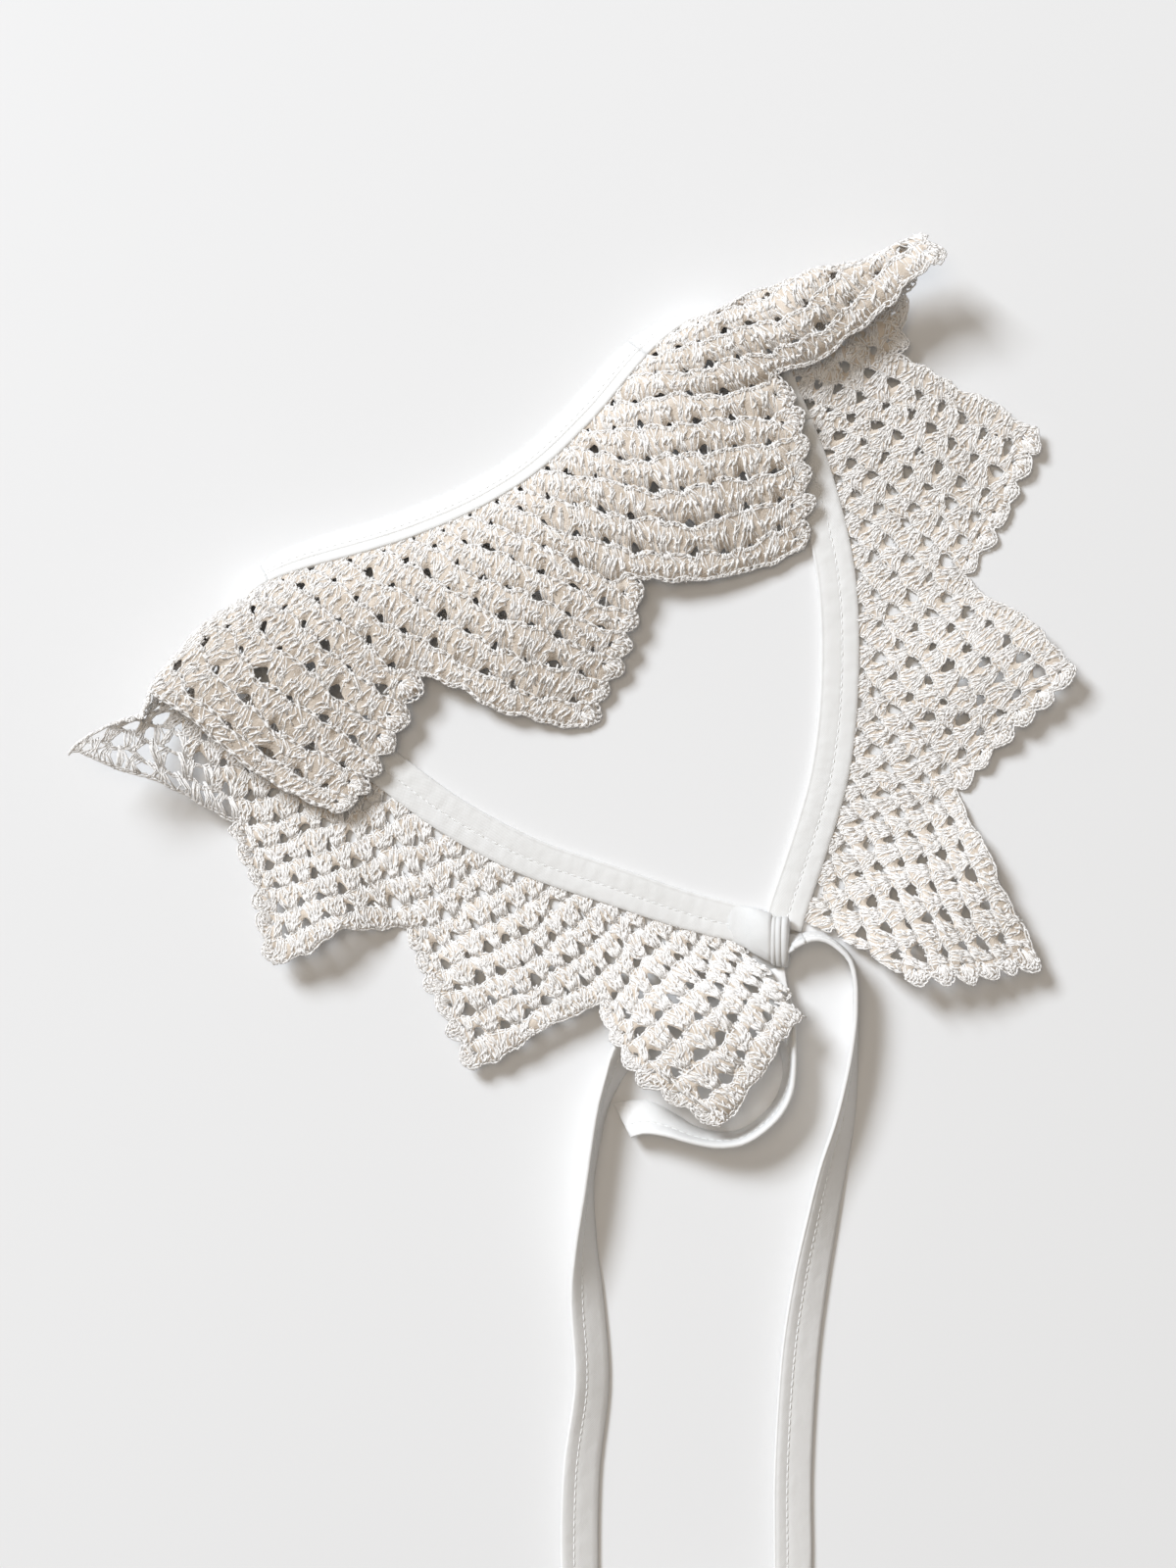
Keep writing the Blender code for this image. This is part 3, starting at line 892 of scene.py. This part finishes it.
def row_chain(point, row, first, last, rng, skin):
    """The plaited top of a row, arched over the holes."""
    low = first + SHELL_SHIFT - HALF_SHELL
    high = last + SHELL_SHIFT + (TURN_REACH if is_turn(row, last) else HALF_SHELL)

    def line(along):
        k = low + along
        off = (k - SHELL_SHIFT + 0.5) % 1.0 - 0.5
        arc = (ARC_RISE - ARC_BASE) * np.maximum(0.0, 1 - (off / ARC_HALF) ** 2)
        top = 1.0 + ARC_BASE + arc
        if row == CELLS - 1:
            plain = CLOSED_TOP + CLOSED_WAVE * np.cos(2 * np.pi * off)
            top = np.where(k > SHELL_SHIFT - HALF_SHELL, plain, top)
        return np.stack((k, row + top), axis=-1)

    plait(line, round((high - low) / CHAIN_PITCH), CHAIN_DROP, point, rng, skin)


def rim_chain(point, rng, skin):
    """The plaited edge round the scallops, from the valley to the tip."""
    def line(along):
        t = np.clip(along / RIM_STRETCH, 0.0, CELLS)
        return np.stack((CELLS + scallop(t) - RIM_INSET, t), axis=-1)

    plait(line, round(CELLS * RIM_STRETCH / CHAIN_PITCH), 0.0, point, rng, skin)


def crochet(point, yarn):
    """All the stitches of one point of the lace."""
    rng = np.random.default_rng(FIRST_SEED + point)
    full, loose = [], []
    skin = Skin()
    for row, first, last in rows_of(point):
        for number in range(first, last + 1):
            free = is_open(point, row, number)
            (loose if free else full).extend(shell_posts(point, row, number, free))
        if row >= 0:
            (loose if is_open(point, row, CELLS - 1) else full).extend(lobe_posts(row))
        row_chain(point, row, first, last, rng, skin)
    rim_chain(point, rng, skin)
    for posts, kinds in ((full, POST_THREADS), (loose, OPEN_THREADS)):
        if posts:
            threads = post_threads(posts, kinds, rng)
            hidden = beyond(point, threads[..., 0], threads[..., 1]).all(axis=1)
            k, j, height = np.moveaxis(threads[~hidden], -1, 0)
            u, v = sheet_place(point, k, j)
            tubes(skin, on_cloth(u, v, MIDDLE + height, THREAD), THREAD)
    return skin.build(f"lace_stitches_{point:02d}", yarn)


# ------ tape on the neck

# Machine stitches, in millimetres.
STITCH_PITCH = 1.95
STITCH_LENGTH = 1.50
STITCH_RADIUS = 0.17
STITCH_SIDES = 5

# Outline across the folded tape: place from the lace side and height over the under side.
TAPE_SECTION = (
    (-0.02, 0.75), (-0.06, 1.20), (-0.30, 1.46), (-1.20, 1.56), (-2.80, 1.56), (-3.80, 1.50),
    (-4.28, 1.43), (-4.52, 1.34), (-4.76, 1.42), (-5.40, 1.45), (-7.20, 1.45), (-8.90, 1.41),
    (-9.14, 1.34), (-9.36, 1.42), (-9.75, 1.38), (-9.95, 1.10), (-10.0, 0.70), (-9.92, 0.30),
    (-9.60, 0.06), (-8.00, 0.00), (-6.00, 0.00), (-4.52, 0.10), (-3.40, 0.00), (-3.20, 0.10),
    (-3.12, 0.95), (-2.86, 0.95), (-2.76, 0.12), (-2.50, 0.00), (-1.40, 0.00), (-0.35, 0.06),
    (-0.08, 0.35),
)

# The step in `u` from ring to ring, and the height where the tape's length is measured.
TAPE_RING = 0.03
TAPE_MIDDLE = 0.7

# The seam in the groove of the under side: a tube for the lace's edge that shows there, coloured
# with the painted shade of the lace's ground.
SEAM_ACROSS = -2.99
SEAM_HEIGHT = 0.62
SEAM_RADIUS = 0.13

# The topstitching on both faces: mean height, and how far a stitch's middle is above it.
STITCH_ACROSS = -4.52
STITCHED_FACES = (
    (1.34, 0.12),
    (0.08, -0.10),
)

# Waves of the tape's thickness: share of it, radians a lace point and radians a millimetre.
PUCKERS = (
    (0.05, 61.0, 0.9),
    (0.03, 143.0, 0.0),
)


def lengths_along(points):
    """Length of a line up to each of its points."""
    steps = np.linalg.norm(np.diff(points, axis=0), axis=1)
    return np.concatenate(([0.0], np.cumsum(steps)))


def stitch_starts(length, first, fewer=0):
    """Where machine stitches start along a seam, the first one's middle `first` pitches in."""
    count = int(length / STITCH_PITCH)
    return [(i + first) * length / count - STITCH_LENGTH / 2 for i in range(count - fewer)]


def dash(skin, start, middle, end):
    """One machine stitch, its ends dipping into the cloth."""
    path = np.array((start, start * 0.75 + middle * 0.25, middle, end * 0.75 + middle * 0.25, end))
    tubes(skin, path[None], STITCH_RADIUS, STITCH_SIDES, STITCH_LOOK)


def tape_line(us, across, height):
    """Points along the neck tape, at a place across it and a height over its under side."""
    return on_cloth(us, np.full(len(us), across / LACE_DEPTH), np.full(len(us), height))


def tape_rings(us):
    """Outlines of the neck tape at each u, puckered a little by the sewing."""
    across, heights = np.array(TAPE_SECTION).T
    pucker = 1
    for share, along, over in PUCKERS:
        pucker = pucker + share * np.sin(us * along)[:, None] * np.cos(across[None] * over)
    shape = (len(us), len(across))
    grid_u = np.broadcast_to(us[:, None], shape)
    grid_v = np.broadcast_to(across / LACE_DEPTH, shape)
    return on_cloth(grid_u, grid_v, heights * pucker)


def tape_stretch(name, low, high, cotton, thread, shade):
    """One stretch of the neck tape, with its seam and its topstitching."""
    skin = Skin()
    us = np.linspace(low, high, round((high - low) / TAPE_RING) + 1)
    along = lengths_along(tape_line(us, STITCH_ACROSS, TAPE_MIDDLE))
    loft(skin, tape_rings(us), lengths_along([*TAPE_SECTION, TAPE_SECTION[0]]), along)
    # The seam's tube is coloured with painted shade.
    tubes(skin, tape_line(us, SEAM_ACROSS, SEAM_HEIGHT)[None], SEAM_RADIUS, look=SEAM_SHADE_LOOK)
    for height, lift in STITCHED_FACES:
        for start in stitch_starts(along[-1], first=0.5):
            places = (start, start + STITCH_LENGTH / 2, start + STITCH_LENGTH)
            heights = (height - lift, height + lift, height - lift)
            dash(skin, *tape_line(np.interp(places, along, us), STITCH_ACROSS, heights))
    return skin.build(f"tape_{name}", cotton, thread, shade)


# ------ ties and knot

# Outline across a tie: place from its middle, on the scale of half its width, and height.
TIE_SECTION = (
    (-1.0, 0.0), (-0.985, 0.42), (-0.94, 0.62), (-0.80, 0.68), (-0.45, 0.62), (-0.10, 0.60),
    (0.20, 0.56), (0.30, 0.42), (0.40, 0.56), (0.70, 0.64), (0.86, 0.60), (0.90, 0.46),
    (0.94, 0.56), (0.985, 0.40), (1.0, 0.0), (0.985, -0.42), (0.94, -0.58), (0.70, -0.62),
    (0.40, -0.56), (0.30, -0.44), (0.20, -0.56), (-0.10, -0.60), (-0.60, -0.64), (-0.94, -0.60),
    (-0.985, -0.42),
)
TIE_LENGTHS = lengths_along(
    [(side * TAPE_WIDTH / 2, face) for side, face in (*TIE_SECTION, TIE_SECTION[0])])
TIE_RING = 2.0

# A tie's topstitching: place on the scale of half the width, height over the wall's middle,
# and the way along and the lift of a stitch's three points.
TIE_STITCH = 0.30
TIE_STITCH_HEIGHT = 0.46
TIE_STITCH_SHAPE = ((0.0, -0.08), (0.5, 0.08), (1.0, -0.08))


def tie_frame(rows, key):
    """Centre, run, width direction and wall direction of a tie at `key`."""
    keys = list(range(len(rows)))
    values = [np.array(row, float) for row in rows]
    key = min(max(key, AIM_STEP), keys[-1] - AIM_STEP)
    before, after = (smooth_row(keys, values, key + step) for step in (-AIM_STEP, AIM_STEP))
    x, y, roll = (before + after) / 2
    slope = math.radians(roll)
    run = world(*after[:2]) - world(*before[:2])
    run /= np.linalg.norm(run)
    width = np.array((run[1] * math.cos(slope), -run[0] * math.cos(slope), math.sin(slope)))
    wall = np.cross(run, width)
    lift = TAPE_WIDTH / 2 * math.sin(slope) + TIE_WALL / 2 * abs(math.cos(slope))
    return world(x, y, lift), run, width, wall


def tie_ring(centre, run, width, wall, cut=0.0, scale=1.0):
    """The tie's outline at one place of its route, slanted by `cut` and above the table."""
    ring = []
    for side, face in TIE_SECTION:
        outward = (width * side - run * cut * side) * scale * TAPE_WIDTH / 2
        place = centre + outward - wall * face * scale
        place[2] = max(place[2], 0.0)
        ring.append(place)
    return ring


def tie_stitches(skin, rows, keys, along):
    """The topstitching on both faces of a tie."""
    for face in (TIE_STITCH_HEIGHT, -TIE_STITCH_HEIGHT):
        for start in stitch_starts(along[-1], first=0.8, fewer=1):
            places = []
            for at, lift in TIE_STITCH_SHAPE:
                key = np.interp(start + at * STITCH_LENGTH, along, keys)
                centre, _, width, wall = tie_frame(rows, key)
                height = face + math.copysign(lift, lift * face)
                places.append(centre + width * TIE_STITCH * TAPE_WIDTH / 2 - wall * height)
            dash(skin, *places)


def tie(name, rows, slant, cotton, thread):
    """A tie along its route; returns its mesh and its centre line in metres."""
    skin = Skin()
    keys = [0.0]
    for index, (a, b) in enumerate(zip(rows, rows[1:])):
        steps = max(1, round(math.dist(a[:2], b[:2]) / TIE_RING))
        keys += [index + (i + 1) / steps for i in range(steps)]
    frames = [tie_frame(rows, key) for key in keys]
    centres = np.array([centre for centre, *_ in frames])
    along = lengths_along(centres)
    cuts = [0.0] * (len(frames) - 1) + [slant / TAPE_WIDTH]
    rings = [tie_ring(*place, cut) for place, cut in zip(frames, cuts)]
    loft(skin, rings, TIE_LENGTHS, along)
    tie_stitches(skin, rows, keys, along)
    return skin.build(name, cotton, thread), (centres * MM).tolist()


def wrap_ring(x, y, half, top):
    """One section of a wrap, whose top leans over to the left."""
    turns = np.arange(KNOT_SIDES) * 2 * math.pi / KNOT_SIDES
    lean = KNOT_LEAN * np.sin(turns)
    heights = top / 2 * (1 + np.sin(turns))
    return [world(x - shift, y + half * math.cos(turn), height)
            for shift, turn, height in zip(lean, turns, heights)]


def knot(cotton):
    """Wraps of tape round the crossing, the first broad, and the root of the right tie."""
    skin = Skin()
    around = np.arange(KNOT_SIDES + 1) / KNOT_SIDES * KNOT_ROUND
    for rows in (BROAD_WRAP, LEFT_WRAP, MIDDLE_WRAP, RIGHT_WRAP):
        loft(skin, [wrap_ring(*row) for row in rows], around, [row[0] for row in rows])
    keys = np.linspace(0, len(TIE_ROOT) - 1, ROOT_RINGS)
    scales = np.linspace(*ROOT_SCALES, ROOT_RINGS)
    rings = [tie_ring(*tie_frame(TIE_ROOT, key), scale=scale) for key, scale in zip(keys, scales)]
    loft(skin, rings, TIE_LENGTHS, keys)
    return skin.build("knot_wraps", cotton)


# ------ materials

# Each colour drifts between two shades, as red, green and blue in linear light.
IVORY_YARN = ((0.855, 0.829, 0.80), (0.89, 0.865, 0.841))
# Painted shade: the lace's ground, a dark, warm copy of the yarn's colour that stands in for the
# shade between the threads.
IVORY_PAINTED_SHADE = ((0.60, 0.515, 0.425), (0.71, 0.625, 0.535))
WHITE_TAPE = ((0.765, 0.758, 0.742), (0.795, 0.788, 0.775))
# The knot's tape is a darker copy of the neck tape's: painted shade for its faces that turn towards
# the window lamp.
WHITE_KNOT_PAINTED_SHADE = ((0.67, 0.664, 0.65), (0.70, 0.694, 0.682))
# The ties' tape is a lighter copy of the neck tape's: painted light for their faces that lean away
# from the window lamp.
WHITE_RIBBON_PAINTED_LIGHT = ((0.80, 0.792, 0.775), (0.83, 0.822, 0.81))
WHITE_THREAD = ((0.90, 0.90, 0.885), (0.93, 0.93, 0.92))
PALE_TABLE = ((0.785, 0.782, 0.78), (0.795, 0.792, 0.79))
DRIFT_DETAIL = 3.0
DRIFT_RAMP = (0.35, 0.65)
SHEEN = 0.15

# Twist of a thread: ridges for each millimetre along it and each turn round it.
YARN_TWIST = (1 / 1.5, 3.0)
SEWING_TWIST = (2.5, 2.0)
WEAVES_PER_MM = 2.0


def shading(name, roughness):
    """A new material, its node tree and its shader."""
    made = bpy.data.materials.new(name)
    made.use_nodes = True
    tree = made.node_tree
    shader = tree.nodes["Principled BSDF"]
    shader.inputs["Roughness"].default_value = roughness
    return made, tree, shader


def node(tree, kind, **values):
    """A new node with values for its own sockets."""
    made = tree.nodes.new(kind)
    for name, value in values.items():
        made.inputs[name].default_value = value
    return made


def math_node(tree, operation, first, second=None):
    """Output of a math node on one or two sockets or numbers."""
    made = tree.nodes.new("ShaderNodeMath")
    made.operation = operation
    for socket, value in zip(made.inputs, (first, second)):
        if isinstance(value, (int, float)):
            socket.default_value = value
        elif value is not None:
            tree.links.new(value, socket)
    return made.outputs[0]


def weighted_sum(tree, first, first_weight, second, second_weight):
    """Sum of two sockets, each times its weight."""
    first = math_node(tree, "MULTIPLY", first, first_weight)
    second = math_node(tree, "MULTIPLY", second, second_weight)
    return math_node(tree, "ADD", first, second)


def wave(tree, value, turns=1.0):
    """Sine wave over a socket, with this many turns for each unit."""
    return math_node(tree, "SINE", math_node(tree, "MULTIPLY", value, 2 * math.pi * turns))


def noise(tree, scale, detail):
    """Noise over the object's own coordinates."""
    place = tree.nodes.new("ShaderNodeTexCoord")
    made = node(tree, "ShaderNodeTexNoise", Scale=scale, Detail=detail)
    tree.links.new(place.outputs["Object"], made.inputs["Vector"])
    return made.outputs["Fac"]


def tint(tree, shader, shades, scale):
    """Gives the shader a colour that drifts between two shades over the object."""
    ramp = tree.nodes.new("ShaderNodeValToRGB")
    for element, shade, position in zip(ramp.color_ramp.elements, shades, DRIFT_RAMP):
        element.position = position
        element.color = (*shade, 1)
    tree.links.new(noise(tree, scale, DRIFT_DETAIL), ramp.inputs["Fac"])
    tree.links.new(ramp.outputs["Color"], shader.inputs["Base Color"])


def bump(tree, shader, height, distance):
    """Bumps the shader by a height, with `distance` in metres."""
    made = node(tree, "ShaderNodeBump", Distance=distance)
    tree.links.new(height, made.inputs["Height"])
    tree.links.new(made.outputs["Normal"], shader.inputs["Normal"])


def mark_sockets(tree):
    """The along and across coordinates of a thread or tape, in millimetres or turns."""
    uv = tree.nodes.new("ShaderNodeUVMap")
    uv.uv_map = MARKS_LAYER
    split = tree.nodes.new("ShaderNodeSeparateXYZ")
    tree.links.new(uv.outputs["UV"], split.inputs[0])
    return split.outputs[0], split.outputs[1]


def twist(tree, by_length, by_turn):
    """Ridges that wind round a thread."""
    along, around = mark_sockets(tree)
    return wave(tree, weighted_sum(tree, along, by_length, around, by_turn))


def yarn_material():
    """Ivory crochet cotton: twisted plies and a fine fuzz."""
    made, tree, shader = shading("ivory_crochet_cotton", roughness=0.82)
    tint(tree, shader, IVORY_YARN, scale=70.0)
    shader.inputs["Sheen Weight"].default_value = SHEEN
    fuzz = noise(tree, scale=4200.0, detail=2.0)
    height = weighted_sum(tree, twist(tree, *YARN_TWIST), 0.5, fuzz, 1.0)
    bump(tree, shader, height, distance=0.00007)
    return made


def painted_shade_material():
    """Painted shade for the ground between the stitches: a dark, warm copy of the yarn's colour that
    stands in for the shade in the crevices.
    """
    made, tree, shader = shading("crochet_painted_shade", roughness=0.9)
    tint(tree, shader, IVORY_PAINTED_SHADE, scale=300.0)
    bump(tree, shader, noise(tree, scale=2600.0, detail=2.0), distance=0.0002)
    return made


def tape_material(name, shades):
    """White cotton tape: a plain weave that ripples."""
    made, tree, shader = shading(name, roughness=0.75)
    tint(tree, shader, shades, scale=35.0)
    shader.inputs["Sheen Weight"].default_value = SHEEN
    along, across = mark_sockets(tree)
    warp, weft = wave(tree, across, WEAVES_PER_MM), wave(tree, along, WEAVES_PER_MM)
    weave = math_node(tree, "MULTIPLY", warp, weft)
    height = weighted_sum(tree, weave, 0.12, noise(tree, scale=260.0, detail=4.0), 1.6)
    bump(tree, shader, height, distance=0.00016)
    return made


def thread_material():
    """White sewing thread, tightly twisted."""
    made, tree, shader = shading("sewing_thread", roughness=0.5)
    tint(tree, shader, WHITE_THREAD, scale=400.0)
    bump(tree, shader, twist(tree, *SEWING_TWIST), distance=0.00003)
    return made


def table_material():
    """The pale, matt table."""
    made, tree, shader = shading("pale_table", roughness=0.9)
    shader.inputs["Specular IOR Level"].default_value = 0.15
    tint(tree, shader, PALE_TABLE, scale=2.5)
    return made


# ------ stage

# The table's half width and its gap under the cloth, in metres.
TABLE_HALF = 3.0
TABLE_DROP = 0.00005

# Lamps: name, place and size in metres, power in watts, and colour.
LAMPS = (
    ("window", (-2.55, 2.55, 2.92), 1.5, 253.0, (0.872, 0.930, 1.0)),
    ("ceiling", (-0.4, 0.3, 2.8), 1.2, 15.0, (1.0, 0.84, 0.64)),
)
ROOM_COLOUR = (1.0, 0.95, 0.90)
ROOM_STRENGTH = 0.26


def camera():
    """The picture's camera."""
    data = bpy.data.cameras.new("camera")
    data.sensor_fit = "HORIZONTAL"
    data.sensor_width = SENSOR
    data.lens = SENSOR * VIEW_HEIGHT / VIEW_WIDTH
    data.clip_start, data.clip_end = 0.05, 20.0
    made = add_object("camera", data)
    made.location = world(*VIEW_CENTRE, VIEW_HEIGHT) * MM
    bpy.context.scene.camera = made


def lamp(name, place, size, power, colour):
    """A square lamp that faces the origin."""
    data = bpy.data.lights.new(name, "AREA")
    data.size = size
    data.energy = power
    data.color = colour
    made = add_object(name, data)
    made.location = place
    made.rotation_mode = "QUATERNION"
    made.rotation_quaternion = made.location.to_track_quat("Z", "Y")


def table():
    """The table under the collar."""
    mesh = bpy.data.meshes.new("table")
    corners = ((-1, -1), (1, -1), (1, 1), (-1, 1))
    mesh.from_pydata([(x * TABLE_HALF, y * TABLE_HALF, 0) for x, y in corners], [], [(0, 1, 2, 3)])
    mesh.materials.append(table_material())
    floor = add_object("table", mesh)
    floor.location.z = -TABLE_DROP


def room():
    """The light, and how the picture shows it."""
    for row in LAMPS:
        lamp(*row)
    back = bpy.data.worlds.new("studio")
    back.use_nodes = True
    background = back.node_tree.nodes["Background"]
    background.inputs["Color"].default_value = (*ROOM_COLOUR, 1)
    background.inputs["Strength"].default_value = ROOM_STRENGTH
    bpy.context.scene.world = back
    bpy.context.scene.view_settings.view_transform = "Standard"


# ------ the collar


def own(piece, slot, *nodes):
    """Gives a piece its body and hides the CAD nodes that it stands for; `slot` is not used."""
    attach(piece, "root")
    if nodes:
        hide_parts(*nodes)


def add_ties(thread):
    """Both ties."""
    # The ties' tape is a lighter copy of the neck tape's: painted light.
    ribbon = tape_material("white_cotton_ribbon_painted_light", WHITE_RIBBON_PAINTED_LIGHT)
    for name, rows, slant in (("tie_right", TIE_RIGHT, 0.0), ("tie_left", TIE_LEFT, TIE_LEFT_SLANT)):
        made, path = tie(name + "_tape", rows, slant, ribbon, thread)
        own(made, "tape", name)
        length = sum(math.dist(a, b) for a, b in zip(path, path[1:]))


def add_lace(shade):
    """The ground of the lace and its stitches."""
    yarn = yarn_material()
    points = range(1, LACE_POINTS + 1)
    ground = Skin()
    for point in points:
        Web(point).build(ground)
    # The ground sheet fills the wall between the threads and is coloured with painted shade.
    web = ground.build("lace_ground_painted_shade", shade)
    stitches = [crochet(point, yarn) for point in points]
    own(web, "lace", *(f"lace_point_{point:02d}" for point in points))
    for piece in stitches:
        own(piece, "lace")


def add_neck_tape(thread, shade):
    """The neck tape, one piece for each stretch."""
    cotton = tape_material("white_cotton_tape", WHITE_TAPE)
    for name, low, high in TAPE_STRETCHES:
        own(tape_stretch(name, low, high, cotton, thread, shade), "tape", f"neck_tape_{name}")


def main():
    """The collar, its camera, its table and its light."""
    camera()
    thread = thread_material()
    shade = painted_shade_material()
    add_ties(thread)
    add_lace(shade)
    add_neck_tape(thread, shade)
    # The knot's tape is a darker copy of the neck tape's: painted shade.
    own(knot(tape_material("white_cotton_knot_painted_shade", WHITE_KNOT_PAINTED_SHADE)), "tape", "knot")
    table()
    room()


main()
